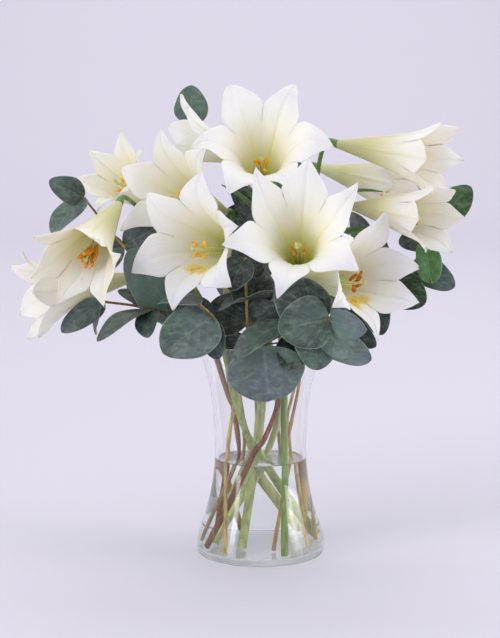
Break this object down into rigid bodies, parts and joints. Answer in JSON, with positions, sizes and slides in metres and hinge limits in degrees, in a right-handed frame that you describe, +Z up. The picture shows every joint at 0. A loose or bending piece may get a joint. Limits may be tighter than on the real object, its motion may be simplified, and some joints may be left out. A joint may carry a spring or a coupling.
{
  "type": "lilies in a vase",
  "caption": "White trumpet lilies and round-leaved eucalyptus standing in water in a clear waisted glass vase.",
  "frame": {"origin": "middle of the vase's flat underside", "axes": "+Z up, along the vase's axis; the picture looks along +Y, so -Y is the front and +X is the right of the picture"},
  "size_m": [0.4272, 0.3383, 0.4393],
  "materials": {
    "glass": "clear, smooth, thick at the base",
    "water": "clear still water",
    "petals": "soft waxy white, green in the throat",
    "stamens": "pale green filaments and orange powdery anthers",
    "lily_green": "smooth green stem and leaf",
    "eucalyptus": "dull grey-green leaves on brown twigs"
  },
  "bodies": {
    "root": {"vase": "glass", "water": "water", "bloom_top_petals": "petals", "bloom_top_stamens": "stamens", "bloom_centre_petals": "petals", "bloom_centre_stamens": "stamens", "bloom_left_petals": "petals", "bloom_left_stamens": "stamens", "bloom_low_right_petals": "petals", "bloom_low_right_stamens": "stamens", "bloom_far_left_petals": "petals", "bloom_far_left_stamens": "stamens", "bloom_low_left_petals": "petals", "bloom_low_left_stamens": "stamens", "bloom_upper_left_petals": "petals", "bloom_upper_left_stamens": "stamens", "bloom_mid_left_petals": "petals", "bloom_mid_left_stamens": "stamens", "bloom_top_left_petals": "petals", "bloom_top_left_stamens": "stamens", "bloom_upper_right_petals": "petals", "bloom_upper_right_stamens": "stamens", "bloom_right_petals": "petals", "bloom_right_stamens": "stamens", "bloom_back_right_petals": "petals", "bloom_back_right_stamens": "stamens", "lily_stem_centre": "lily_green", "lily_stem_left": "lily_green", "lily_stem_middle": "lily_green", "lily_stem_top": "lily_green", "lily_stem_left_back": "lily_green", "lily_stem_right": "lily_green", "eucalyptus_front_right": "eucalyptus", "eucalyptus_centre": "eucalyptus", "eucalyptus_left_front": "eucalyptus", "eucalyptus_low_left": "eucalyptus", "eucalyptus_upper_left": "eucalyptus", "eucalyptus_right": "eucalyptus", "eucalyptus_top": "eucalyptus", "eucalyptus_back": "eucalyptus", "eucalyptus_back_right": "eucalyptus"}
  },
  "joints": []
}
